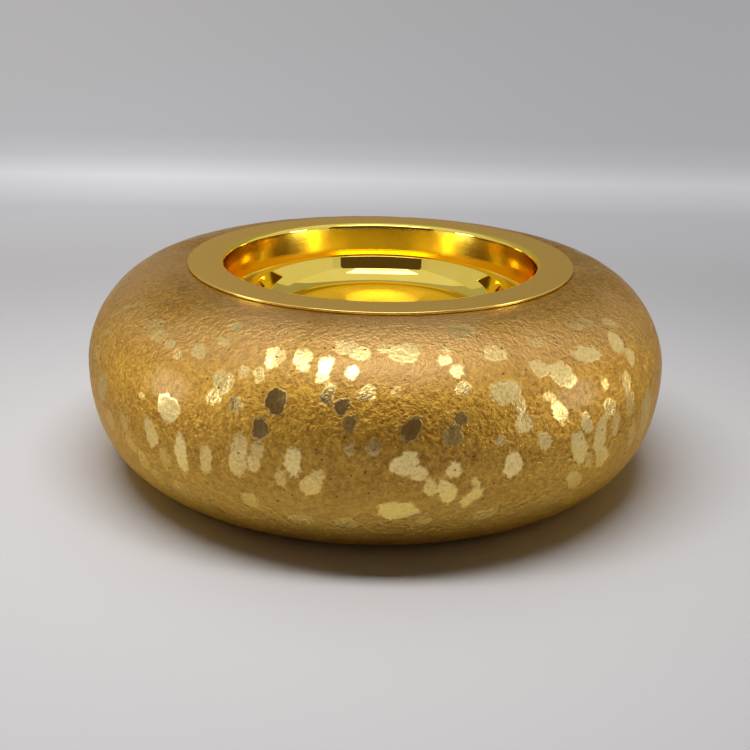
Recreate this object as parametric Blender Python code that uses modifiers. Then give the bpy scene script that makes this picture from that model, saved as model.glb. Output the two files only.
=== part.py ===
"""A squat ring-shaped urli bowl in hammered brass, with a bright spun liner that lifts out.

The body is two spun brass shells, lapped and brazed at the widest line, and then hammered.
The liner is a shallow pan whose flat rim lies on the top of the body. Four rubber pads carry it.
The origin is on the table under the middle of the bowl, and +Z is up. Units are metres.
"""

import math
import random

import bpy
from mathutils import Vector

MM = 0.001

# Body: the outer skin is half a superellipse turned round +Z, with unlike upper and lower halves.
BODY_RADIUS = 115 * MM
CROWN_RADIUS = 81 * MM
CROWN_HEIGHT = 79.2 * MM
WAIST_HEIGHT = 42.7 * MM
UPPER_EXPONENT = 1.90
LOWER_EXPONENT = 2.33
SHEET = 1.5 * MM

# Hammering: how deep the blows go, and how far they stray from even rows.
BLOW_DEPTH = 0.45 * MM
BLOW_STRAY = 2.2 * MM
BLOW_SEED = 7
UNHAMMERED = 5 * MM
CROWN_UNHAMMERED = 1.25 * MM

# The neck that takes the liner, turned down from the flat top of the body.
NECK_RADIUS = 65.4 * MM
NECK_BEND = 2.5 * MM
NECK_DEPTH = 9.0 * MM

# The lap at the waist: a spigot on the lower shell that the upper shell slips over.
LAP_LATITUDE = math.radians(9)
GAP = 0.3 * MM

# The underside: a flat ring to stand on, and a middle that is pressed up.
BASE_HEIGHT = 1.8 * MM
KICK_OUTER_RADIUS = 60 * MM
KICK_INNER_RADIUS = 54 * MM
KICK_HEIGHT = 3.2 * MM

# Liner, measured on its upper side, with depths below the rim's top.
RIM_RADIUS = 76.5 * MM
RIM_TOP = 80.4 * MM
LINER_SHEET = 0.9 * MM
LINER_SHIFT = 1.3 * MM
LIP_RADIUS = 62.4 * MM
LIP_BEND = 2.0 * MM
GUTTER_DEPTH = 16.2 * MM
GUTTER_OUTER_BEND = 2.6 * MM
GUTTER_INNER_RADIUS = 54.6 * MM
EDGE_OUTER_RADIUS = 53.4 * MM
EDGE_DEPTH = 12.0 * MM
DISH_RADIUS = 50.1 * MM
DISH_BEND = 10.4 * MM

# Pads under the base.
PAD_RADIUS = 7 * MM
PAD_THICKNESS = 1.5 * MM
PAD_CIRCLE = 78 * MM
PAD_COUNT = 4
PAD_EDGE = 0.3 * MM

TURNED_STEPS = 72
SKIN_STEPS = 9
MERGE = 0.01 * MM
CREASE = math.radians(35)


def clear_scene():
    for thing in list(bpy.data.objects):
        bpy.data.objects.remove(thing)


def metal(name, colour, roughness, metallic=1.0):
    material = bpy.data.materials.new(name)
    material.use_nodes = True
    shader = material.node_tree.nodes["Principled BSDF"]
    shader.inputs["Base Color"].default_value = (*colour, 1.0)
    shader.inputs["Roughness"].default_value = roughness
    shader.inputs["Metallic"].default_value = metallic
    return material


def arc(centre, radius, start, end, steps):
    """Points on a round stretch of a profile, with its angles in degrees."""
    turns = (math.radians(start + (end - start) * i / steps) for i in range(steps + 1))
    return [(centre[0] + radius * math.cos(a), centre[1] + radius * math.sin(a)) for a in turns]


def skin_point(latitude):
    """(radius, height) of the body's outer skin, at 0 on the widest line and 90 degrees on the crown."""
    upper = latitude >= 0
    exponent = 2 / (UPPER_EXPONENT if upper else LOWER_EXPONENT)
    rise = CROWN_HEIGHT - WAIST_HEIGHT if upper else -WAIST_HEIGHT
    out = max(0.0, math.cos(latitude)) ** exponent
    up = abs(math.sin(latitude)) ** exponent
    return CROWN_RADIUS + (BODY_RADIUS - CROWN_RADIUS) * out, WAIST_HEIGHT + rise * up


def base_latitude():
    """Where the lower skin meets the flat ring that the bowl stands on."""
    share = (WAIST_HEIGHT - BASE_HEIGHT) / WAIST_HEIGHT
    return -math.asin(share ** (LOWER_EXPONENT / 2))


def shifted(line, distance):
    """The profile moved sideways by distance, to its right as it runs, with mitred corners."""
    moved = []
    for i, point in enumerate(line):
        here = Vector(point)
        before = Vector(line[max(i - 1, 0)])
        after = Vector(line[min(i + 1, len(line) - 1)])
        runs = [run.normalized() for run in (here - before, after - here) if run.length > 0]
        sides = [Vector((run.y, -run.x)) for run in runs]
        middle = sum(sides, Vector((0, 0))).normalized()
        moved.append(tuple(here + middle * distance / middle.dot(sides[0])))
    return moved


def turned(name, outline, material, collection):
    """An outline in the XZ plane turned round +Z. It runs down its outer side, and may end on the axis."""
    profile = bpy.data.meshes.new(name)
    edges = [(i, i + 1) for i in range(len(outline) - 1)]
    if outline[0][0] > 0:
        edges.append((len(outline) - 1, 0))
    profile.from_pydata([(x, 0, z) for x, z in outline], edges, [])
    piece = bpy.data.objects.new(name, profile)
    collection.objects.link(piece)
    screw = piece.modifiers.new("turning", "SCREW")
    screw.steps = screw.render_steps = TURNED_STEPS
    screw.use_merge_vertices = True
    screw.merge_threshold = MERGE
    turned_piece = piece.evaluated_get(bpy.context.evaluated_depsgraph_get())
    piece.data = bpy.data.meshes.new_from_object(turned_piece)
    piece.modifiers.clear()
    bpy.data.meshes.remove(profile)
    piece.data.name = name
    piece.data.shade_smooth()
    piece.data.set_sharp_from_angle(angle=CREASE)
    piece.data.materials.append(material)
    return piece


def skin(start, end, steps):
    """Points down the outer skin from one latitude to another."""
    return [skin_point(start + (end - start) * i / steps) for i in range(steps + 1)]


def hammer(piece):
    """Blows over the outer skin, which leave it faceted. The flats and the lap stay as they were spun."""
    blows = random.Random(BLOW_SEED)
    corners = [v for v in piece.data.vertices if struck(math.hypot(v.co.x, v.co.y), v.co.z)]
    hit = {corner.index for corner in corners}
    for face in piece.data.polygons:
        face.use_smooth = hit.isdisjoint(face.vertices)
    for corner in corners:
        outward = corner.normal.copy()
        around = Vector((-corner.co.y, corner.co.x, 0)).normalized()
        along = outward.cross(around)
        stray = around * blows.uniform(-1, 1) + along * blows.uniform(-1, 1)
        corner.co += stray * BLOW_STRAY - outward * blows.uniform(0, BLOW_DEPTH)


def struck(radius, height):
    """True on the outer skin, away from its flat top, its flat ring and the lap."""
    rise = CROWN_HEIGHT - WAIST_HEIGHT if height > WAIST_HEIGHT else WAIST_HEIGHT
    exponent = UPPER_EXPONENT if height > WAIST_HEIGHT else LOWER_EXPONENT
    share = min(1, abs(height - WAIST_HEIGHT) / rise)
    skin_radius = skin_point(math.copysign(math.asin(share ** (exponent / 2)), height - WAIST_HEIGHT))[0]
    on_skin = abs(radius - skin_radius) < SHEET / 2
    clear_of_lap = abs(height - WAIST_HEIGHT) > UNHAMMERED
    clear_of_flats = BASE_HEIGHT + UNHAMMERED < height < CROWN_HEIGHT - CROWN_UNHAMMERED
    return on_skin and clear_of_lap and clear_of_flats


def upper_shell(material, collection):
    """From the foot of the neck, over the flat top and the shoulder, down to the widest line."""
    bend = (NECK_RADIUS + NECK_BEND, CROWN_HEIGHT - NECK_BEND)
    outside = [(NECK_RADIUS, CROWN_HEIGHT - NECK_DEPTH)]
    outside += arc(bend, NECK_BEND, 180, 90, 4)
    outside += skin(math.pi / 2, 0, SKIN_STEPS)
    inside = shifted(outside, SHEET)
    shell = turned("upper_shell", inside[::-1] + outside, material, collection)
    hammer(shell)
    return shell


def lower_shell(material, collection):
    """From the spigot of the lap, round the lower skin to the flat ring and the pressed-up middle."""
    lap = skin(LAP_LATITUDE, 0, 2)
    spigot_outside = shifted(lap, SHEET + GAP)
    spigot_inside = shifted(lap, 2 * SHEET + GAP)
    shoulder = WAIST_HEIGHT - GAP
    foot = [(KICK_OUTER_RADIUS, BASE_HEIGHT), (KICK_INNER_RADIUS, BASE_HEIGHT + KICK_HEIGHT)]
    below = skin(0, base_latitude(), SKIN_STEPS)[1:] + foot
    outside = spigot_outside[:-1] + [(spigot_outside[-1][0], shoulder), (BODY_RADIUS, shoulder)]
    outside += below + [(0, foot[-1][1])]
    inside = spigot_inside + shifted(below, SHEET)[1:] + [(0, foot[-1][1] + SHEET)]
    shell = turned("lower_shell", inside[::-1] + outside, material, collection)
    hammer(shell)
    return shell


def liner_line():
    """The liner's upper side: rim, lip, straight wall, gutter, the dish's raised edge and the dish."""
    lip = (LIP_RADIUS + LIP_BEND, RIM_TOP - LIP_BEND)
    gutter = (LIP_RADIUS - GUTTER_OUTER_BEND, RIM_TOP - GUTTER_DEPTH + GUTTER_OUTER_BEND)
    dish = (DISH_RADIUS - DISH_BEND, RIM_TOP - EDGE_DEPTH)
    line = [(RIM_RADIUS, RIM_TOP)]
    line += arc(lip, LIP_BEND, 90, 180, 3)
    line += arc(gutter, GUTTER_OUTER_BEND, 0, -90, 3)
    line += [(GUTTER_INNER_RADIUS, RIM_TOP - GUTTER_DEPTH), (EDGE_OUTER_RADIUS, RIM_TOP - EDGE_DEPTH)]
    line += arc(dish, DISH_BEND, 0, -90, 6)
    line += [(0, dish[1] - DISH_BEND)]
    return line


def liner(material, collection):
    """A spun pan whose flat rim lies on the body's top and carries it. It fits the neck loosely, and
    lies a little to one side of the middle."""
    top = liner_line()
    under = shifted(top[:-1], -LINER_SHEET) + [(0, top[-1][1] - LINER_SHEET)]
    piece = turned("liner_bowl", top[::-1] + under, material, collection)
    piece.location.x = LINER_SHIFT
    return piece


def pad(number, material, collection):
    """A round stick-on rubber pad under the flat ring."""
    bpy.ops.mesh.primitive_cylinder_add(vertices=24, radius=PAD_RADIUS, depth=PAD_THICKNESS)
    piece = bpy.context.object
    piece.name = f"rubber_pad_{number + 1}"
    turn = 2 * math.pi * (number + 0.5) / PAD_COUNT
    piece.location = (PAD_CIRCLE * math.cos(turn), PAD_CIRCLE * math.sin(turn), PAD_THICKNESS / 2)
    rounding = piece.modifiers.new("edge", "BEVEL")
    rounding.width = PAD_EDGE
    rounding.segments = 1
    piece.data.materials.append(material)
    for home in list(piece.users_collection):
        home.objects.unlink(piece)
    collection.objects.link(piece)
    return piece


def main():
    clear_scene()
    bowl = bpy.data.collections.new("urli_bowl")
    bpy.context.scene.collection.children.link(bowl)
    hammered = metal("hammered_brass", (0.40, 0.23, 0.07), 0.38)
    bright = metal("bright_brass", (0.78, 0.53, 0.14), 0.08)
    rubber = metal("black_rubber", (0.02, 0.02, 0.02), 0.8, 0.0)
    upper_shell(hammered, bowl)
    lower_shell(hammered, bowl)
    liner(bright, bowl)
    for number in range(PAD_COUNT):
        pad(number, rubber, bowl)


main()
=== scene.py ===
"""The brass urli bowl as a maker would dress it: a hammered, antiqued ring body under clear
lacquer, a mirror-bright spun liner that lies loose in its neck, and rubber pads. It stands on a
pale sweep in a light tent. Lengths are in metres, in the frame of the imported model: +Z is up and
-Y faces the camera.
"""

import math
import random

import bmesh
import bpy
import numpy as np
from mathutils import Euler, Matrix, Vector


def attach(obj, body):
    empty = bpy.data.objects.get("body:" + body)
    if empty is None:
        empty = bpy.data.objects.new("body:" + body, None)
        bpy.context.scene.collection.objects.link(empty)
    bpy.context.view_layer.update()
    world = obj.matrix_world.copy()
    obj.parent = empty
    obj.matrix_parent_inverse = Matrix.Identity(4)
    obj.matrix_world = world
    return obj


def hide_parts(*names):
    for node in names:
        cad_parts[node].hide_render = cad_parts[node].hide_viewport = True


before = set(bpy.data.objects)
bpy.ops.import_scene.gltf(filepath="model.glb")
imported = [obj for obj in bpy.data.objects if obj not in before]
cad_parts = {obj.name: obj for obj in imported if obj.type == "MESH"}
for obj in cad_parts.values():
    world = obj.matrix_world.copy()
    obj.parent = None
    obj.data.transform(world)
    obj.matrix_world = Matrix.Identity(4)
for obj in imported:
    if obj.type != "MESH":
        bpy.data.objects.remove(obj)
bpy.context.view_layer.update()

MM = 0.001
scene = bpy.context.scene
scene.view_settings.view_transform = "Standard"


# ---- Camera -------------------------------------------------------------------------------
# A phone held just in front of the tent, a little above the bowl and tipped down to it.
# Its place comes from the outline and the liner's rings, and it leans slightly to one side.

CAMERA_PLACE = (0.0, -430.9 * MM, 188.1 * MM)
LOOK_DOWN = math.radians(20.17)
LEAN = math.radians(1.07)
LENS_LENGTH = 52.8
SENSOR_WIDTH = 36.0
PICTURE_WIDTH = 750

camera = bpy.data.objects.new("camera", bpy.data.cameras.new("camera"))
camera.data.lens = LENS_LENGTH
camera.data.sensor_width = SENSOR_WIDTH
camera.data.clip_start = 10 * MM
camera.location = CAMERA_PLACE
turn = Euler((math.pi / 2 - LOOK_DOWN, 0, 0)).to_matrix() @ Matrix.Rotation(LEAN, 3, "Z")
camera.rotation_euler = turn.to_euler()
scene.collection.objects.link(camera)
scene.camera = camera


# ---- Light tent ---------------------------------------------------------------------------
# A folding photo tent: a grey-white sheet that sweeps up at the back, white cloth sides, a small
# lamp panel in the roof near the open front, and a dim room beyond the opening.


class Link:
    """A node's output. Arithmetic on it adds Math nodes, and add() puts in any other node."""

    def __init__(self, tree, socket=None):
        self.tree = tree
        self.socket = socket

    def add(self, kind, settings=None, inputs=None, output=0):
        node = self.tree.nodes.new("ShaderNode" + kind)
        for name, value in (settings or {}).items():
            if name == "stops":
                while len(node.color_ramp.elements) < len(value):
                    node.color_ramp.elements.new(1.0)
                for stop, (place, colour) in zip(node.color_ramp.elements, value):
                    stop.position = place
                    stop.color = (*colour, 1.0)
            else:
                setattr(node, name, value)
        for name, value in (inputs or {}).items():
            if isinstance(value, Link):
                self.tree.links.new(value.socket, node.inputs[name])
            else:
                node.inputs[name].default_value = value
        return Link(self.tree, node.outputs[output] if node.outputs else None)

    def sum(self, operation, first, second=0.0):
        return self.add("Math", {"operation": operation}, {0: first, 1: second})

    def __add__(self, other):
        return self.sum("ADD", self, other)

    def __sub__(self, other):
        return self.sum("SUBTRACT", self, other)

    def __rsub__(self, other):
        return self.sum("SUBTRACT", other, self)

    def __mul__(self, other):
        return self.sum("MULTIPLY", self, other)

    def step(self, low, high):
        """0 below low and 1 above high, with a smooth rise between them. High may be under low."""
        ends = {"Value": self, "From Min": low, "From Max": high}
        return self.add("MapRange", {"interpolation_type": "SMOOTHSTEP"}, ends)

    def mix(self, low, high):
        """One colour where this is 0 and another where it is 1. A Mix node has its colours in its
        sockets 6 and 7, and their mix in output 2."""
        colours = {0: self, 6: as_colour(low), 7: as_colour(high)}
        return self.add("Mix", {"data_type": "RGBA"}, colours, 2)

    __radd__ = __add__
    __rmul__ = __mul__


def as_colour(value):
    return value if isinstance(value, Link) else (*value, 1.0)


def new_material(name):
    """A material with an empty tree, a Link to start its expressions from, and its output."""
    material = bpy.data.materials.new(name)
    material.use_nodes = True
    material.node_tree.nodes.clear()
    output = material.node_tree.nodes.new("ShaderNodeOutputMaterial")
    return material, Link(material.node_tree), output


SWEEP_WIDTH = 3.0
SWEEP_NEAR = -1.5
SWEEP_BEND_START = 0.42
SWEEP_BEND_RADIUS = 0.25
SWEEP_BEND_STEPS = 12
SWEEP_TOP = 1.6

sheet = bmesh.new()
along = [(SWEEP_NEAR, 0.0), (SWEEP_BEND_START, 0.0)]
for i in range(1, SWEEP_BEND_STEPS + 1):
    bend = math.radians(90 * i / SWEEP_BEND_STEPS)
    across = SWEEP_BEND_START + SWEEP_BEND_RADIUS * math.sin(bend)
    along.append((across, SWEEP_BEND_RADIUS * (1 - math.cos(bend))))
along.append((along[-1][0], SWEEP_TOP))
corners = [sheet.verts.new((-SWEEP_WIDTH / 2, y, z)) for y, z in along]
edges = [sheet.edges.new(pair) for pair in zip(corners, corners[1:])]
swept = bmesh.ops.extrude_edge_only(sheet, edges=edges)
moved = [item for item in swept["geom"] if isinstance(item, bmesh.types.BMVert)]
bmesh.ops.translate(sheet, verts=moved, vec=(SWEEP_WIDTH, 0, 0))
bmesh.ops.recalc_face_normals(sheet, faces=sheet.faces)
sweep = bpy.data.objects.new("sweep", bpy.data.meshes.new("sweep"))
sheet.to_mesh(sweep.data)
sheet.free()
sweep.data.shade_smooth()
scene.collection.objects.link(sweep)

# The sheet is lit where it lies under the lamps. Further off it glows with painted light instead: an
# even grey with a painted bright band where it starts to rise, and painted shade towards both ends,
# most on the right. The tent is a little brighter on the left.
FLOOR_LEFT = (0.715, 0.70, 0.708)
FLOOR_RIGHT = (0.69, 0.68, 0.688)
PAINTED_BACK_TONES = [
    (0.00, (0.53, 0.515, 0.52)),
    (0.30, (0.53, 0.52, 0.53)),
    (0.42, (0.545, 0.535, 0.555)),
    (0.50, (0.67, 0.66, 0.695)),
    (0.555, (0.76, 0.755, 0.79)),
    (0.625, (0.565, 0.555, 0.575)),
    (0.69, (0.48, 0.47, 0.485)),
    (1.00, (0.445, 0.435, 0.44)),
]
BACK_RIGHT_SHADE = (0.30, 0.295, 0.31)
BACK_LEFT_SHADE = (0.46, 0.45, 0.455)
RIGHT_SHARE = 0.48
LEFT_SHARE = 0.45
TO_THE_RIGHT = (-0.40, 0.35)
TO_THE_LEFT = (-0.15, -0.42)
TONES_START = 0.25
TONES_BACKWARD = 2.0
TONES_UPWARD = 1.2
LIT_TO_BACK = (0.12, 0.40)
LIT_AROUND = (0.46, 0.80)
UNSEEN_SHARE = 0.25

material, start, output = new_material("pale_sheet")
place = start.add("TexCoord", output="Object")
across = start.add("SeparateXYZ", inputs={0: place}, output="X")
back = start.add("SeparateXYZ", inputs={0: place}, output="Y")
height = start.add("SeparateXYZ", inputs={0: place}, output="Z")
rightward = across.step(*TO_THE_RIGHT)
lit = start.add("BsdfDiffuse", inputs={"Color": rightward.mix(FLOOR_LEFT, FLOOR_RIGHT)})
# Painted light on the far sheet: a bright band up the bend, and painted shade towards its ends.
up_the_sheet = (back - TONES_START) * TONES_BACKWARD + height * TONES_UPWARD
painted_back_tone = start.add("ValToRGB", {"stops": PAINTED_BACK_TONES}, {0: up_the_sheet})
painted_back_tone = (rightward * RIGHT_SHARE).mix(painted_back_tone, BACK_RIGHT_SHADE)
painted_back_tone = (across.step(*TO_THE_LEFT) * LEFT_SHARE).mix(painted_back_tone, BACK_LEFT_SHADE)
seen = start.add("LightPath", output="Is Camera Ray") + start.add("LightPath", output="Is Glossy Ray")
painted_back_tone = (seen * (1 - UNSEEN_SHARE) + UNSEEN_SHARE).mix((0.0, 0.0, 0.0), painted_back_tone)
glow = start.add("Emission", inputs={"Color": painted_back_tone, "Strength": 1.0})
flat = start.add("VectorMath", {"operation": "MULTIPLY"}, {0: place, 1: (1, 1, 0)})
away = start.add("VectorMath", {"operation": "LENGTH"}, {0: flat}, "Value")
far = away.sum("MAXIMUM", back.step(*LIT_TO_BACK), away.step(*LIT_AROUND))
whole = start.add("MixShader", inputs={0: far, 1: lit, 2: glow})
material.node_tree.links.new(whole.socket, output.inputs["Surface"])
sweep.data.materials.append(material)


def lamp(name, place, width, depth, power, on_metal, aim=None):
    """A soft lamp panel that the camera doesn't see. It shows in the metal, or else it lights the
    table. It points at aim, or straight down. Its power is in watts."""
    aim = aim or (place[0], place[1], 0.0)
    panel = bpy.data.lights.new(name, "AREA")
    panel.shape = "RECTANGLE"
    panel.size = width
    panel.size_y = depth
    panel.energy = power
    holder = bpy.data.objects.new(name, panel)
    holder.location = place
    holder.rotation_euler = (Vector(aim) - Vector(place)).to_track_quat("-Z", "Y").to_euler()
    holder.visible_camera = False
    holder.visible_glossy = on_metal
    holder.visible_diffuse = not on_metal
    scene.collection.objects.link(holder)


# The lamps at both sides and the panel in the roof are what shows in the metal. The table has its
# own light from above: a strip over the bowl's front, and the pale roof cloth behind it.
MOUTH = (0.0, 0.0, 0.06)
LEFT_PLACE = (-0.39, -0.12, 0.13)
RIGHT_PLACE = (0.39, -0.13, 0.13)

lamp("roof_lamp", (-0.015, -0.215, 0.45), width=0.42, depth=0.13, power=0.78, on_metal=True)
lamp("left_lamp", LEFT_PLACE, width=0.12, depth=0.12, power=0.34, on_metal=True, aim=MOUTH)
lamp("right_lamp", RIGHT_PLACE, width=0.11, depth=0.12, power=0.30, on_metal=True, aim=MOUTH)
lamp("table_lamp", (-0.07, -0.10, 0.55), width=0.52, depth=0.10, power=2.45, on_metal=False)
lamp("roof_cloth", (-0.05, 0.22, 0.62), width=0.80, depth=0.50, power=1.25, on_metal=False)


# The sides of the tent are white cloth. Two flaps close its front, but for a wide opening with a
# dim room beyond it, and a strip of the lamp panel hangs down over that opening.
TENT_SIDE = 0.46
TENT_FRONT = -0.36
TENT_DEPTH = 0.71
TENT_HEIGHT = 0.45
OPENING_LEFT = -0.36
OPENING_RIGHT = 0.34
OPENING_HEIGHT = 0.42
STRIP_LEFT = -0.23
STRIP_WIDTH = 0.43
STRIP_RUN = (0, 0.09, 0.03)
STRIP_GLOW = (2.90, 2.82, 2.65)
ROOM_DARK = (0.09, 0.058, 0.034)
FLAP_CLOTH = (0.62, 0.60, 0.56)
LEFT_CLOTH = (0.66, 0.64, 0.60)
RIGHT_CLOTH = (0.72, 0.695, 0.65)


def card(name, corner, across, up, colour):
    """A flat wall that shows in the metal. The camera doesn't see it, and it throws no shadow."""
    wall = bmesh.new()
    points = [Vector(corner)]
    points.append(points[0] + Vector(across))
    points.append(points[1] + Vector(up))
    points.append(points[0] + Vector(up))
    wall.faces.new([wall.verts.new(point) for point in points])
    piece = bpy.data.objects.new(name, bpy.data.meshes.new(name))
    wall.to_mesh(piece.data)
    wall.free()
    material, start, output = new_material(name)
    glow = start.add("Emission", inputs={"Color": (*colour, 1.0), "Strength": 1.0})
    material.node_tree.links.new(glow.socket, output.inputs["Surface"])
    piece.data.materials.append(material)
    piece.visible_camera = False
    piece.visible_diffuse = False
    piece.visible_shadow = False
    scene.collection.objects.link(piece)


strip_corner = (STRIP_LEFT, TENT_FRONT, OPENING_HEIGHT)
left_corner = (-TENT_SIDE, TENT_FRONT, 0)
right_corner = (TENT_SIDE, TENT_FRONT, 0)
opening_start = (OPENING_LEFT, TENT_FRONT, 0)
opening_end = (OPENING_RIGHT, TENT_FRONT, 0)
opening_up = (0, 0, OPENING_HEIGHT)
side_run = (0, TENT_DEPTH, 0)
side_up = (0, 0, TENT_HEIGHT)

card("roof_front", strip_corner, (STRIP_WIDTH, 0, 0), STRIP_RUN, STRIP_GLOW)
card("dark_opening", opening_start, (OPENING_RIGHT - OPENING_LEFT, 0, 0), opening_up, ROOM_DARK)
card("left_flap", left_corner, (OPENING_LEFT + TENT_SIDE, 0, 0), opening_up, FLAP_CLOTH)
card("right_flap", opening_end, (TENT_SIDE - OPENING_RIGHT, 0, 0), opening_up, FLAP_CLOTH)
card("left_side", left_corner, side_run, side_up, LEFT_CLOTH)
card("right_side", right_corner, side_run, side_up, RIGHT_CLOTH)

# The cloth roof is bright enough to show in the metal, and gives the table little light.
ROOF_SHOWN = (0.80, 0.78, 0.74, 1.0)
ROOF_LIGHT = (0.04, 0.04, 0.04, 1.0)
world = bpy.data.worlds.new("tent_cloth")
world.use_nodes = True
world.node_tree.nodes.clear()
output = world.node_tree.nodes.new("ShaderNodeOutputWorld")
start = Link(world.node_tree)
seen = start.add("LightPath", output="Is Camera Ray") + start.add("LightPath", output="Is Glossy Ray")
dim = start.add("Background", inputs={"Color": ROOF_LIGHT})
shown = start.add("Background", inputs={"Color": ROOF_SHOWN})
both = start.add("MixShader", inputs={0: seen, 1: dim, 2: shown})
world.node_tree.links.new(both.socket, output.inputs["Surface"])
scene.world = world


# ---- Hammered body ------------------------------------------------------------------------
# Two spun brass shells, lapped and brazed at the widest line and then hammered over, so that no
# seam shows. The skin is antiqued brown-gold, and the hammer has left bright flattened marks.

BODY_RADIUS = 114.99 * MM
CROWN_RADIUS = 81 * MM
CROWN_HEIGHT = 79.2 * MM
WAIST_HEIGHT = 42.7 * MM
UPPER_EXPONENT = 1.90
LOWER_EXPONENT = 2.33
BODY_SHEET = 1.5 * MM
NECK_RADIUS = 65.4 * MM
NECK_BEND = 2.5 * MM
NECK_DEPTH = 9.0 * MM
BASE_HEIGHT = 1.8 * MM
KICK_OUTER_RADIUS = 60 * MM
KICK_INNER_RADIUS = 54 * MM
KICK_HEIGHT = 3.2 * MM
LAP_LATITUDE = math.radians(9)
GAP = 0.3 * MM

SKIN_ROW = 0.78 * MM
BODY_STEPS = 832
CROWN_ROW = 0.9 * MM
CROWN_ROWS = 8
CROWN_BAND = 7 * MM
INSIDE_ROW = 6 * MM
LAP_ROW = 2 * MM
NECK_BEND_STEPS = 8
SKIN_SAMPLES = 2000


def skin_point(latitude):
    """(radius, height) on the outer skin, at 0 on the widest line and 90 degrees on the crown."""
    upper = latitude >= 0
    power = 2 / (UPPER_EXPONENT if upper else LOWER_EXPONENT)
    rise = CROWN_HEIGHT - WAIST_HEIGHT if upper else -WAIST_HEIGHT
    out = max(0.0, math.cos(latitude)) ** power
    up = abs(math.sin(latitude)) ** power
    return CROWN_RADIUS + (BODY_RADIUS - CROWN_RADIUS) * out, WAIST_HEIGHT + rise * up


def skin_rows(start, end, row):
    """Points down the outer skin from one latitude to another, a row apart."""
    samples = range(SKIN_SAMPLES + 1)
    fine = [skin_point(start + (end - start) * i / SKIN_SAMPLES) for i in samples]
    radii, heights = np.array(fine).T
    run = np.concatenate([[0], np.cumsum(np.hypot(np.diff(radii), np.diff(heights)))])
    places = np.linspace(0, run[-1], max(2, round(run[-1] / row)) + 1)
    return list(zip(np.interp(places, run, radii), np.interp(places, run, heights)))


def shifted(line, distance):
    """The profile moved sideways by distance, to its right as it runs, with mitred corners."""
    moved = []
    for i, point in enumerate(line):
        here = Vector(point)
        before = Vector(line[max(i - 1, 0)])
        after = Vector(line[min(i + 1, len(line) - 1)])
        runs = [run.normalized() for run in (here - before, after - here) if run.length > 0]
        sides = [Vector((run.y, -run.x)) for run in runs]
        middle = sum(sides, Vector((0, 0))).normalized()
        moved.append(tuple(here + middle * distance / middle.dot(sides[0])))
    return moved


def arc(centre, radius, start, end, steps):
    """Points on a round stretch of a profile, with its angles in degrees."""
    turns = (math.radians(start + (end - start) * i / steps) for i in range(steps + 1))
    return [(centre[0] + radius * math.cos(a), centre[1] + radius * math.sin(a)) for a in turns]


DOUBLINGS = 4
MERGE_DISTANCE = 0.01 * MM
SHARP_ANGLE = math.radians(40)


def spun(name, outline, steps, middle=0.0):
    """A closed outline in the XZ plane spun round an upright axis at x = middle. A sixteenth of the
    turn is spun, and then doubled four times. Steps is a multiple of 16."""
    sectors = 2 ** DOUBLINGS
    centre = Vector((middle, 0, 0))
    work = bmesh.new()
    points = [work.verts.new((x + middle, 0, z)) for x, z in outline]
    lines = [work.edges.new(pair) for pair in zip(points, points[1:])]
    if outline[0][0] > 0:
        lines.append(work.edges.new((points[-1], points[0])))
    bmesh.ops.spin(
        work,
        geom=points + lines,
        cent=centre,
        axis=(0, 0, 1),
        angle=2 * math.pi / sectors,
        steps=steps // sectors,
    )
    for doubling in range(DOUBLINGS):
        angle = 2 * math.pi * 2 ** doubling / sectors
        copied = bmesh.ops.duplicate(work, geom=work.verts[:] + work.edges[:] + work.faces[:])
        corners = [item for item in copied["geom"] if isinstance(item, bmesh.types.BMVert)]
        bmesh.ops.rotate(work, verts=corners, cent=centre, matrix=Matrix.Rotation(angle, 3, "Z"))
    bmesh.ops.remove_doubles(work, verts=work.verts, dist=MERGE_DISTANCE)
    bmesh.ops.recalc_face_normals(work, faces=work.faces)
    piece = bpy.data.objects.new(name, bpy.data.meshes.new(name))
    work.to_mesh(piece.data)
    work.free()
    piece.data.shade_smooth()
    piece.data.set_sharp_from_angle(angle=SHARP_ANGLE)
    scene.collection.objects.link(piece)
    return piece


base_share = (WAIST_HEIGHT - BASE_HEIGHT) / WAIST_HEIGHT
base_latitude = -math.asin(base_share ** (LOWER_EXPONENT / 2))
neck_bend = (NECK_RADIUS + NECK_BEND, CROWN_HEIGHT - NECK_BEND)
neck = [(NECK_RADIUS, CROWN_HEIGHT - NECK_DEPTH)]
neck += arc(neck_bend, NECK_BEND, 180, 90, NECK_BEND_STEPS)
crown_start = CROWN_RADIUS - CROWN_BAND
crown_flat = [(crown_start + CROWN_ROW * i, CROWN_HEIGHT) for i in range(CROWN_ROWS)]
outside = neck + crown_flat + skin_rows(math.pi / 2, 0, SKIN_ROW)
inside = shifted(neck + skin_rows(math.pi / 2, 0, INSIDE_ROW), BODY_SHEET)
upper = spun("hammered_upper", inside[::-1] + outside, BODY_STEPS)

lap = skin_rows(LAP_LATITUDE, 0, LAP_ROW)
spigot_outside = shifted(lap, BODY_SHEET + GAP)
spigot_inside = shifted(lap, 2 * BODY_SHEET + GAP)
foot = [(KICK_OUTER_RADIUS, BASE_HEIGHT), (KICK_INNER_RADIUS, BASE_HEIGHT + KICK_HEIGHT)]
outside = spigot_outside[:-1] + [(spigot_outside[-1][0], WAIST_HEIGHT)]
outside += skin_rows(0, base_latitude, SKIN_ROW) + foot + [(0, foot[-1][1])]
below = skin_rows(0, base_latitude, INSIDE_ROW)[1:] + foot
inside = spigot_inside + shifted(below, BODY_SHEET)[1:] + [(0, foot[-1][1] + BODY_SHEET)]
lower = spun("hammered_lower", inside[::-1] + outside, BODY_STEPS)
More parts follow.
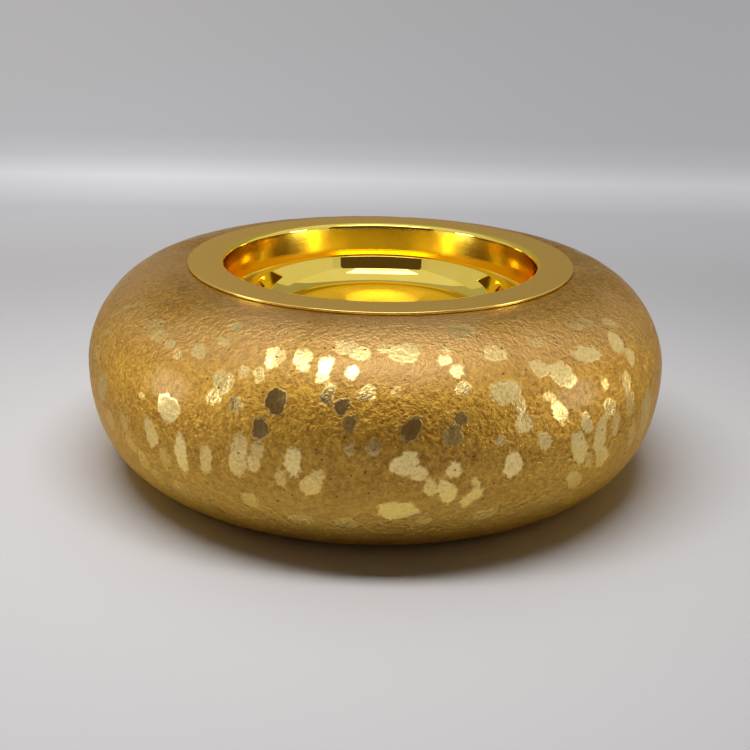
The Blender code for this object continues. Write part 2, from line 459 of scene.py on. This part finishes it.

# Every blow is a long round mark, its length along the curve of the body. Those on the side that
# the picture shows are read from it: middle, half width and half height in pixels, slant in
# degrees, and how strongly the blow has polished the metal.
FRONT_MARKS = [
    (275, 357, 11, 10, 0, 1.0), (303, 357, 11, 8, 0, 0.8), (304, 366, 7, 6, 0, 0.7),
    (326, 365, 8, 10, 0, 1.0), (322, 377, 8, 6, 0, 0.8), (352, 372, 7, 7, 0, 1.0),
    (346, 347, 13, 7, 0, 0.7), (360, 354, 12, 6, -10, 0.8), (405, 353, 15, 10, 0, 0.9),
    (386, 348, 9, 5, 0, 0.5), (237, 327, 7, 5, 0, 0.7), (224, 341, 7, 5, 0, 0.6),
    (199, 351, 8, 8, 10, 0.8), (447, 350, 5, 5, 0, 0.5), (445, 360, 7, 6, 0, 0.8),
    (457, 371, 7, 7, 0, 0.8), (367, 393, 9, 8, 0, 0.8), (396, 391, 5, 5, 0, 0.4),
    (463, 388, 8, 8, 0, 0.8), (244, 371, 6, 6, 0, 0.7), (260, 374, 8, 7, 0, 0.7),
    (223, 382, 11, 12, 30, 0.8), (215, 396, 7, 8, 40, 0.7), (236, 405, 7, 8, 0, 0.8),
    (276, 401, 12, 13, 0, 1.0), (260, 429, 9, 11, 0, 1.0), (328, 394, 7, 11, -10, 0.9),
    (342, 406, 8, 9, -20, 0.9), (350, 424, 7, 9, 0, 0.6), (349, 449, 5, 7, 0, 0.6),
    (373, 448, 8, 9, 0, 0.6), (411, 430, 9, 15, -25, 0.9), (461, 419, 7, 8, 0, 0.7),
    (453, 436, 10, 12, -25, 0.6), (238, 457, 9, 21, -10, 0.7), (257, 451, 7, 10, 0, 0.6),
    (253, 464, 7, 8, 0, 0.7), (293, 462, 9, 14, 0, 0.9), (206, 460, 6, 14, -10, 0.7),
    (317, 478, 8, 9, 0, 0.6), (405, 464, 15, 12, 20, 0.9), (420, 474, 8, 9, -30, 0.8),
    (454, 470, 8, 9, 0, 0.9), (397, 511, 21, 9, -8, 0.9), (447, 492, 9, 14, 25, 0.9),
    (472, 497, 13, 6, 35, 0.8), (476, 483, 4, 8, 20, 0.7), (484, 514, 12, 5, 15, 0.7),
    (460, 329, 14, 9, 0, 0.5), (474, 320, 7, 4, 0, 0.3), (495, 353, 12, 9, 0, 0.6),
    (536, 343, 7, 5, 0, 0.4), (577, 326, 9, 5, -10, 0.6), (587, 322, 7, 6, -20, 0.5),
    (608, 322, 9, 6, -35, 0.8), (616, 342, 8, 13, -30, 1.0), (630, 356, 5, 10, -10, 0.9),
    (587, 354, 16, 9, -8, 1.0), (540, 368, 9, 10, 0, 1.0), (563, 375, 12, 14, -10, 1.0),
    (505, 392, 15, 12, 15, 1.0), (520, 405, 6, 11, -20, 0.8), (524, 423, 8, 12, 10, 0.9),
    (549, 396, 6, 6, 0, 0.5), (560, 412, 7, 14, 20, 0.7), (545, 441, 6, 10, 15, 0.8),
    (501, 441, 5, 6, 0, 0.7), (513, 465, 9, 14, -12, 1.0), (587, 423, 5, 12, 10, 0.9),
    (580, 448, 7, 18, 18, 0.9), (600, 437, 6, 17, -8, 0.9), (602, 457, 6, 9, 0, 0.9),
    (574, 480, 6, 10, 30, 0.8), (605, 384, 4, 7, 0, 0.5), (627, 384, 5, 13, -15, 0.6),
    (630, 402, 4, 12, -10, 0.6), (610, 408, 7, 10, -15, 0.7), (616, 425, 4, 10, -5, 0.7),
    (646, 414, 4, 18, 12, 0.8), (632, 434, 3, 11, 10, 0.6), (551, 503, 4, 11, 45, 0.5),
    (588, 460, 3, 10, 25, 0.5), (129, 307, 10, 5, 35, 0.6), (118, 313, 7, 4, 40, 0.6),
    (154, 325, 10, 11, 20, 0.35), (159, 335, 7, 8, 25, 0.7), (170, 343, 6, 6, 10, 0.8),
    (178, 354, 5, 6, 0, 0.7), (107, 332, 4, 6, 20, 0.4), (97, 352, 3, 10, 12, 0.7),
    (103, 382, 4, 10, 15, 0.6), (101, 391, 3, 10, -8, 0.6), (142, 396, 3, 4, 0, 0.5),
    (168, 408, 11, 15, 15, 1.0), (211, 398, 6, 6, 0, 0.8), (151, 434, 6, 14, 0, 0.8),
    (181, 454, 6, 19, -3, 1.0), (165, 458, 5, 11, -10, 0.4), (131, 444, 4, 6, -20, 0.5),
    (124, 422, 3, 10, 0, 0.5), (110, 420, 3, 9, -10, 0.5), (144, 461, 4, 8, -25, 0.7),
    (163, 482, 8, 5, -40, 0.7), (184, 491, 8, 5, -40, 0.7), (214, 509, 9, 5, -20, 0.6),
    (280, 478, 6, 9, 0, 0.5), (310, 486, 12, 9, 10, 0.7), (345, 524, 13, 6, 0, 0.7),
    (300, 520, 14, 5, 5, 0.7), (250, 500, 9, 7, 0, 0.5), (431, 488, 7, 10, 20, 0.7),
    (424, 521, 8, 5, 0, 0.5),
]

# The other side has marks of the same kind, strewn by chance, and the whole skin has the soft
# dents of earlier blows. Widths, lengths and runs are in millimetres. A run is the distance along
# the skin from the widest line, and it grows upwards.
SHOWN_TURN = math.radians(78)
MARK_SEED = 5
MARK_COUNT = 420
MARK_WIDTH = (1.7, 3.6)
MARK_LENGTH = (2.2, 5.2)
MARK_SHINE = (0.35, 1.0)
SLANT_SPREAD = 0.35
TILT = 0.3
CHAIN_SHARE = 0.32
CHAIN_PITCH = (1.3, 1.9)
CHAIN_LEAN = 1.5
MIDDLE_RADIUS = 105
SOFT_BLOWS = 500
SOFT_SIZE = (4, 8)
UPPER_REACH = 52.0
LOWER_REACH = -58.0
TABLE_ROW = 0.1 * MM
NEAREST = 0.25
FARTHEST = 0.60
RAY_STEP = 0.0002

blows = random.Random(MARK_SEED)

table = np.array(skin_rows(base_latitude, math.pi / 2, TABLE_ROW))
skin_radii, skin_heights = table.T
skin_runs = np.concatenate([[0], np.cumsum(np.hypot(*np.diff(table, axis=0).T))]) / MM
skin_runs -= np.interp(WAIST_HEIGHT, skin_heights, skin_runs)
tangents = np.gradient(table, axis=0)
tangents /= np.hypot(*tangents.T)[:, None]
turn_to_picture = camera.rotation_euler.to_matrix()
picture_depth = LENS_LENGTH / SENSOR_WIDTH * PICTURE_WIDTH


def seen_at(x, y):
    """Where a pixel of the picture falls on the skin: its turn round the axis from the front, and
    its run."""
    half = PICTURE_WIDTH / 2
    ray = turn_to_picture @ Vector((x - half, half - y, -picture_depth))
    ray.normalize()
    far = np.arange(NEAREST, FARTHEST, RAY_STEP)
    along = np.array(CAMERA_PLACE) + far[:, None] * np.array(ray)
    inside = np.hypot(along[:, 0], along[:, 1]) < np.interp(along[:, 2], skin_heights, skin_radii)
    inside &= along[:, 2] < CROWN_HEIGHT
    if not inside.any():
        return None
    place = along[np.argmax(inside)]
    return math.atan2(place[0], -place[1]), float(np.interp(place[2], skin_heights, skin_runs))


def blow_tilts():
    """How much deeper a blow is at one side and at one end than at the other."""
    return blows.uniform(-TILT, TILT), blows.uniform(-TILT, TILT)


def front_marks():
    """The marks read from the picture, each as its turn, run, half width, half length, slant, two
    tilts and strength."""
    marks = []
    for x, y, half_width, half_height, slant, strength in FRONT_MARKS:
        middle = seen_at(x, y)
        ends = [seen_at(x - half_width, y), seen_at(x + half_width, y)]
        ends += [seen_at(x, y - half_height), seen_at(x, y + half_height)]
        if middle is None or None in ends:
            continue
        radius = np.interp(middle[1], skin_runs, skin_radii) / MM
        width = radius * abs(ends[1][0] - ends[0][0]) / 2
        length = abs(ends[3][1] - ends[2][1]) / 2
        marks.append((*middle, width, length, math.radians(slant), *blow_tilts(), strength))
    return marks


def scatter(count, widths, lengths, chain_share, hidden_side):
    """Marks strewn over the whole skin, or only where the picture doesn't show it."""
    marks = []
    for _ in range(count):
        turn = blows.uniform(-math.pi, math.pi)
        run = blows.uniform(LOWER_REACH, UPPER_REACH)
        slant = blows.gauss(0, SLANT_SPREAD)
        strength = blows.uniform(*MARK_SHINE)
        links = blows.choice((2, 3)) if blows.random() < chain_share else 1
        for _ in range(links):
            width = blows.uniform(*widths)
            length = blows.uniform(*lengths)
            tilts = blow_tilts()
            if abs(turn) > SHOWN_TURN or not hidden_side:
                marks.append((turn, run, width, length, slant, *tilts, strength))
            aside = math.sin(slant) * length * CHAIN_LEAN + blows.uniform(-1, 1)
            turn += aside / MIDDLE_RADIUS
            run -= math.cos(slant) * length * blows.uniform(*CHAIN_PITCH)
    return marks


bright_marks = front_marks() + scatter(MARK_COUNT, MARK_WIDTH, MARK_LENGTH, CHAIN_SHARE, True)
soft_marks = scatter(SOFT_BLOWS, SOFT_SIZE, SOFT_SIZE, 0.0, False)

# A dent's depth grows with the square of its size. Its edge is ragged, in waves of a share of its
# size: two, three and seven round it.
STRIKE_FLATNESS = 0.009
BRIGHT_DEPTH = 1.3
SOFT_DEPTH = 0.17
DEEPEST = 0.45
TWO_WAVES = 0.09
THREE_WAVES = 0.07
SEVEN_WAVES = 0.04
FAR_OUTSIDE = -3.0
MARGIN = 4
SKIN_SLACK = 0.2 * MM
CROWN_SLACK = 0.01 * MM
CROWN_REACH = 8 * MM
BASE_MARGIN = 0.5 * MM


def hammer(piece):
    """Sinks the marks into the outer skin. It keeps two attributes of each point: polish is how far
    inside a bright mark it is, in millimetres, and strength is how bright that mark is."""
    mesh = piece.data
    count = len(mesh.vertices)
    place = np.empty(count * 3)
    mesh.vertices.foreach_get("co", place)
    place = place.reshape(-1, 3)
    radius = np.hypot(place[:, 0], place[:, 1])
    turn = np.arctan2(place[:, 0], -place[:, 1])
    on_crown = (np.abs(place[:, 2] - CROWN_HEIGHT) < CROWN_SLACK) & (radius < CROWN_RADIUS)
    on_skin = np.abs(radius - np.interp(place[:, 2], skin_heights, skin_radii)) < SKIN_SLACK
    on_skin |= on_crown & (radius > CROWN_RADIUS - CROWN_REACH)
    on_skin &= place[:, 2] > BASE_HEIGHT + BASE_MARGIN
    run = np.interp(place[:, 2], skin_heights, skin_runs) + on_crown * (CROWN_RADIUS - radius) / MM
    rise = np.where(on_crown, 0.0, np.interp(run, skin_runs, tangents[:, 1]))
    lean = np.where(on_crown, -1.0, np.interp(run, skin_runs, tangents[:, 0]))
    outward = np.stack([rise * np.sin(turn), -rise * np.cos(turn), -lean], axis=1)
    depth = np.zeros(count)
    polish = np.full(count, FAR_OUTSIDE)
    strength = np.zeros(count)
    for marks, bright in ((soft_marks, False), (bright_marks, True)):
        for middle, level, width, length, slant, tilt_x, tilt_y, shine in marks:
            reach = max(width, length) + MARGIN
            near = np.flatnonzero(on_skin & (np.abs(run - level) < reach))
            x = (turn[near] - middle + math.pi) % (2 * math.pi) - math.pi
            x = x * radius[near] / MM
            close = np.abs(x) < reach
            near, x = near[close], x[close]
            y = run[near] - level
            cross = x * math.cos(slant) + y * math.sin(slant)
            down = y * math.cos(slant) - x * math.sin(slant)
            angle = np.arctan2(down, cross)
            ragged = 1 + TWO_WAVES * np.sin(2 * angle + 5 * middle)
            ragged += THREE_WAVES * np.sin(3 * angle + level)
            ragged += SEVEN_WAVES * np.sin(7 * angle + 3 * level)
            share = np.hypot(cross / width, down / length) / ragged
            dish = np.clip(1 - share ** 2, 0, None)
            dish *= 1 + tilt_x * cross / width + tilt_y * down / length
            sunk = dish * min(width, length) ** 2 * STRIKE_FLATNESS
            if bright:
                depth[near] = np.maximum(depth[near], sunk * BRIGHT_DEPTH)
                inside = (1 - share) * min(width, length)
                stronger = inside > polish[near]
                strength[near] = np.where(stronger, shine, strength[near])
                polish[near] = np.maximum(polish[near], inside)
            else:
                depth[near] += sunk * SOFT_DEPTH
    place -= outward * (np.clip(depth, 0, DEEPEST) * on_skin * MM)[:, None]
    mesh.vertices.foreach_set("co", place.ravel())
    polish[~on_skin] = FAR_OUTSIDE
    mesh.attributes.new("polish", "FLOAT", "POINT").data.foreach_set("value", polish)
    mesh.attributes.new("strength", "FLOAT", "POINT").data.foreach_set("value", strength)
    mesh.update()


hammer(upper)
hammer(lower)

# Finish: a rough, crusted ground in browned gold, paler and smoother where the hammer struck, with
# small dark pits, all under a thin lacquer. A painted reflection makes it rosy in patches near the
# crown, and a painted reflection of the floor makes it olive and paler near the foot, with the struck
# marks there yellower.
GROUND_DARK = (0.27, 0.122, 0.014)
GROUND_GOLD = (0.69, 0.405, 0.062)
ROSY_REFLECTION = (0.70, 0.43, 0.17)
OLIVE_FLOOR_REFLECTION = (0.82, 0.53, 0.095)
STRUCK_FLOOR_REFLECTION = (0.93, 0.69, 0.16)
STRUCK_GOLD = (0.93, 0.72, 0.30)
STRUCK_DULL = (0.70, 0.49, 0.15)
PIT_COLOUR = (0.10, 0.045, 0.012)
EDGE_TINT = (0.66, 0.50, 0.29, 1.0)
GRAIN_SIZE = 0.8 * MM
CRUST_SIZE = 1.7 * MM
CLOUD_SIZE = 9 * MM
DRIFT_SIZE = 40 * MM
PIT_SPACING = 3.4 * MM
PIT_EDGE = (0.11, 0.04)
CLOUD_WRAP = 35 * MM
STRUCK_EDGE = (-0.45, 0.60)
GRAIN_AT_EDGE = 1.5
CRUST_AT_EDGE = 1.2
CRUST_TARNISH = 0.35
CLOUD_TARNISH = 0.20
GRAIN_TARNISH = 0.45
ROSY_REFLECTION_HEIGHTS = (58 * MM, 78 * MM)
ROSY_REFLECTION_SHARE = 0.7
FLOOR_REFLECTION_HEIGHTS = (42 * MM, 12 * MM)
FLOOR_REFLECTION_SHARE = 0.55
STRUCK_REFLECTION_HEIGHTS = (22 * MM, 46 * MM)
GROUND_ROUGHNESS = 0.44
GRAIN_ROUGHNESS = 0.25
STRUCK_ROUGHNESS = 0.20
CRUST_RELIEF = 0.70 * MM
GRAIN_RELIEF = 0.55 * MM
STRUCK_SMOOTHING = 0.93
LACQUER_WEIGHT = 0.25
LACQUER_ROUGHNESS = 0.20
BLOB_SHARE = 0.7


def noise(start, place, size, detail=2.0, roughness=0.5):
    """Noise whose blobs are about size across, from 0 to 1."""
    scale = BLOB_SHARE / size
    inputs = {"Vector": place, "Scale": scale, "Detail": detail, "Roughness": roughness}
    return start.add("TexNoise", inputs=inputs)


material, start, output = new_material("hammered_brass")
place = start.add("TexCoord", output="Object")
east = start.add("SeparateXYZ", inputs={0: place}, output="X")
north = start.add("SeparateXYZ", inputs={0: place}, output="Y")
height = start.add("SeparateXYZ", inputs={0: place}, output="Z")
flat = start.add("VectorMath", {"operation": "MULTIPLY"}, {0: place, 1: (1, 1, 0)})
radius = start.add("VectorMath", {"operation": "LENGTH"}, {0: flat}, "Value")
round_axis = east.sum("ARCTAN2", east, north) * CLOUD_WRAP
wrapped = start.add("CombineXYZ", inputs={0: radius, 1: height, 2: round_axis})
grain = noise(start, place, GRAIN_SIZE, 3.0, 0.65)
crust = noise(start, place, CRUST_SIZE, 3.0, 0.6)
clouds = noise(start, wrapped, CLOUD_SIZE, 4.0, 0.6)
drift = noise(start, place, DRIFT_SIZE, 2.0)
polish = start.add("Attribute", {"attribute_name": "polish"}, output="Fac")
strength = start.add("Attribute", {"attribute_name": "strength"}, output="Fac")
edge = polish + (grain - 0.5) * GRAIN_AT_EDGE + (crust - 0.5) * CRUST_AT_EDGE
struck = edge.step(*STRUCK_EDGE) * strength
pits = start.add("TexVoronoi", inputs={"Vector": place, "Scale": BLOB_SHARE / PIT_SPACING})
pit = pits.step(*PIT_EDGE)
tarnish = crust.step(0.35, 0.65) * CRUST_TARNISH
tarnish = tarnish + clouds.step(0.30, 0.70) * CLOUD_TARNISH
tarnish = tarnish + grain.step(0.35, 0.65) * GRAIN_TARNISH
ground = tarnish.mix(GROUND_DARK, GROUND_GOLD)
# A painted reflection: a rosy tint in patches near the crown.
rosy_reflection = height.step(*ROSY_REFLECTION_HEIGHTS) * drift.step(0.3, 0.6) * ROSY_REFLECTION_SHARE
ground = rosy_reflection.mix(ground, ROSY_REFLECTION)
# A painted reflection of the floor: the ground is olive and paler towards the foot.
ground = (height.step(*FLOOR_REFLECTION_HEIGHTS) * FLOOR_REFLECTION_SHARE).mix(ground, OLIVE_FLOOR_REFLECTION)
# A painted reflection of the floor: the struck marks are yellower towards the foot.
struck_and_reflection = height.step(*STRUCK_REFLECTION_HEIGHTS).mix(STRUCK_FLOOR_REFLECTION, STRUCK_GOLD)
struck_and_reflection = grain.step(0.25, 0.60).mix(STRUCK_DULL, struck_and_reflection)
colour = pit.mix(struck.mix(ground, struck_and_reflection), PIT_COLOUR)
ground_rough = GROUND_ROUGHNESS + (grain - 0.5) * GRAIN_ROUGHNESS
rough = (1 - struck) * ground_rough + struck * STRUCK_ROUGHNESS
relief = (crust - 0.5) * CRUST_RELIEF + (grain - 0.5) * GRAIN_RELIEF
relief = relief * (1 - struck * STRUCK_SMOOTHING)
bump = start.add("Bump", inputs={"Strength": 1.0, "Distance": 1.0, "Height": relief})
shader = start.add(
    "BsdfPrincipled",
    inputs={
        "Base Color": colour,
        "Metallic": 1.0,
        "Roughness": rough,
        "Normal": bump,
        "Specular Tint": EDGE_TINT,
        "Coat Weight": LACQUER_WEIGHT,
        "Coat Roughness": LACQUER_ROUGHNESS,
    },
)
material.node_tree.links.new(shader.socket, output.inputs["Surface"])
for piece, node in ((upper, "upper_shell"), (lower, "lower_shell")):
    piece.data.materials.append(material)
    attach(piece, "body")
    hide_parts(node)


# ---- Liner --------------------------------------------------------------------------------
# A pan spun from thin brass sheet and buffed to a mirror, with a satin flat rim that lies on the
# body's crown. It sits loose in the neck, a little to one side, and lifts straight out.

LINER_SHIFT = 1.3 * MM
RIM_TOP = 80.4 * MM
LINER_SHEET = 0.9 * MM
LINER_STEPS = 304
TOP_BEND_STEPS = 8
UNDER_BEND_STEPS = 6

# Corners of the upper side from the middle outwards, in millimetres: the radius, the depth under
# the rim, and the bends of the upper and the lower side.
LINER_CORNERS = [
    (0.0, 22.4, 0.0, 0.0),
    (44.4, 22.4, 7.5, 8.4),
    (48.1, 17.6, 11.0, 11.9),
    (50.1, 12.1, 0.35, 0.2),
    (53.4, 12.0, 0.5, 0.1),
    (54.6, 16.2, 1.2, 1.8),
    (61.2, 16.2, 2.0, 2.8),
    (62.4, 0.0, 2.0, 1.1),
    (76.5, 0.0, 0.35, 0.35),
]


def rounded(corners, bends, steps):
    """The line through the corners, each one but the first and last rounded to its bend."""
    line = [corners[0]]
    for before, here, after, bend in zip(corners, corners[1:], corners[2:], bends[1:]):
        here = Vector(here)
        back = (Vector(before) - here).normalized()
        on = (Vector(after) - here).normalized()
        half = back.angle(on) / 2
        centre = here + (back + on).normalized() * bend / math.sin(half)
        spoke = (here + back * bend / math.tan(half)) - centre
        bend_angle = math.pi - 2 * half
        side = math.copysign(1, back.x * on.y - back.y * on.x)
        for i in range(steps + 1):
            part = -side * bend_angle * i / steps
            line.append(tuple(centre + Matrix.Rotation(part, 2) @ spoke))
    return line + [corners[-1]]


top = [(radius * MM, RIM_TOP - depth * MM) for radius, depth, _, _ in LINER_CORNERS]
under = shifted(top, LINER_SHEET)
under[-1] = (top[-1][0], under[-1][1])
top_bends = [bend * MM for _, _, bend, _ in LINER_CORNERS]
under_bends = [bend * MM for _, _, _, bend in LINER_CORNERS]
top_line = rounded(top + [under[-1]], top_bends, TOP_BEND_STEPS)[:-1]
under_line = rounded(under, under_bends, UNDER_BEND_STEPS)
section = top_line + under_line[::-1]
liner = spun("bright_liner", section, LINER_STEPS, LINER_SHIFT)

# Finish: a mirror with faint smears, and fine rings that the lathe has left on the wall. The wall is
# painted a deeper amber, a painted reflection of the brass seen again in itself. The floor of the
# dish is a little worn, and the flat rim is brushed to satin.
POLISHED = (0.94, 0.73, 0.16)
POLISHED_DEEP = (0.92, 0.70, 0.12)
AMBER_REFLECTION = (0.93, 0.65, 0.08)
SATIN = (0.88, 0.60, 0.19)
RIM_TINT = (0.92, 0.76, 0.42, 1.0)
SATIN_RADII = (63.4 * MM, 64.2 * MM)
SATIN_HEIGHTS = (RIM_TOP - 0.5 * MM, RIM_TOP - 0.2 * MM)
WALL_RADII = (54.0 * MM, 56.0 * MM)
WALL_HEIGHTS = (RIM_TOP - 1.5 * MM, RIM_TOP - 3.0 * MM)
WORN_RADII = (42 * MM, 36 * MM)
WORN_HEIGHTS = (RIM_TOP - 20 * MM, RIM_TOP - 22 * MM)
LATHE_RINGS = 1500
LATHE_SCALE = 1.6
SMEAR_SIZE = 9 * MM
SATIN_ROUGHNESS = 0.20
LATHE_ROUGHNESS = 0.10
WALL_ROUGHNESS = 0.11
WORN_ROUGHNESS = 0.24
MIRROR_ROUGHNESS = 0.025
SMEAR_ROUGHNESS = 0.02
SATIN_RELIEF = 0.004 * MM
WALL_RELIEF = 0.022 * MM
WORN_RELIEF = 0.006 * MM
MIRROR_RELIEF = 0.0002 * MM

material, start, output = new_material("bright_brass")
place = start.add("TexCoord", output="Object")
centred = start.add("Mapping", inputs={"Vector": place, "Location": (-LINER_SHIFT, 0, 0)})
flat = start.add("VectorMath", {"operation": "MULTIPLY"}, {0: centred, 1: (1, 1, 0)})
radius = start.add("VectorMath", {"operation": "LENGTH"}, {0: flat}, "Value")
height = start.add("SeparateXYZ", inputs={0: place}, output="Z")
satin = radius.step(*SATIN_RADII) * height.step(*SATIN_HEIGHTS)
wall = radius.step(*WALL_RADII) * height.step(*WALL_HEIGHTS)
worn = radius.step(*WORN_RADII) * height.step(*WORN_HEIGHTS)
rings = start.add("CombineXYZ", inputs={0: radius * LATHE_RINGS, 1: height * LATHE_RINGS, 2: 0.0})
lathe = start.add("TexNoise", inputs={"Vector": rings, "Scale": LATHE_SCALE, "Detail": 2.0})
smears = noise(start, place, SMEAR_SIZE, 3.0, 0.6)
# The wall's amber is a painted reflection of the brass around it.
colour = wall.mix(smears.step(0.3, 0.7).mix(POLISHED_DEEP, POLISHED), AMBER_REFLECTION)
colour = satin.mix(colour, SATIN)
satin_rough = satin * (SATIN_ROUGHNESS + lathe * LATHE_ROUGHNESS)
mirror_rough = (1 - satin) * (MIRROR_ROUGHNESS + smears * SMEAR_ROUGHNESS)
rough = satin_rough + wall * WALL_ROUGHNESS + worn * WORN_ROUGHNESS + mirror_rough
relief = satin * SATIN_RELIEF + wall * WALL_RELIEF + worn * WORN_RELIEF + MIRROR_RELIEF
bump = start.add("Bump", inputs={"Strength": 1.0, "Distance": 1.0, "Height": lathe * relief})
shader = start.add(
    "BsdfPrincipled",
    inputs={
        "Base Color": colour,
        "Metallic": 1.0,
        "Roughness": rough,
        "Normal": bump,
        "Specular Tint": RIM_TINT,
    },
)
material.node_tree.links.new(shader.socket, output.inputs["Surface"])
liner.data.materials.append(material)
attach(liner, "liner")
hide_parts("liner_bowl")


# ---- Rubber pads --------------------------------------------------------------------------
# Four small moulded pads of black rubber, stuck under the flat ring that the bowl stands on.
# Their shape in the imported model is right, so only the finish is added.

RUBBER = (0.018, 0.017, 0.016)
DUSTY_RUBBER = (0.055, 0.052, 0.048)
DUST_SIZE = 1.2 * MM
SKIN_GRAIN = 0.35 * MM
SKIN_RELIEF = 0.03 * MM
RUBBER_ROUGHNESS = 0.68
DUST_ROUGHNESS = 0.2

material, start, output = new_material("black_rubber")
place = start.add("TexCoord", output="Object")
dust = noise(start, place, DUST_SIZE, 4.0, 0.7)
relief = noise(start, place, SKIN_GRAIN, 1.0) * SKIN_RELIEF
bump = start.add("Bump", inputs={"Strength": 0.6, "Distance": 1.0, "Height": relief})
shader = start.add(
    "BsdfPrincipled",
    inputs={
        "Base Color": dust.step(0.4, 0.8).mix(RUBBER, DUSTY_RUBBER),
        "Roughness": dust * DUST_ROUGHNESS + RUBBER_ROUGHNESS,
        "Normal": bump,
    },
)
material.node_tree.links.new(shader.socket, output.inputs["Surface"])
for number in range(1, 5):
    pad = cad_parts[f"rubber_pad_{number}"]
    for slot in pad.material_slots:
        slot.material = material
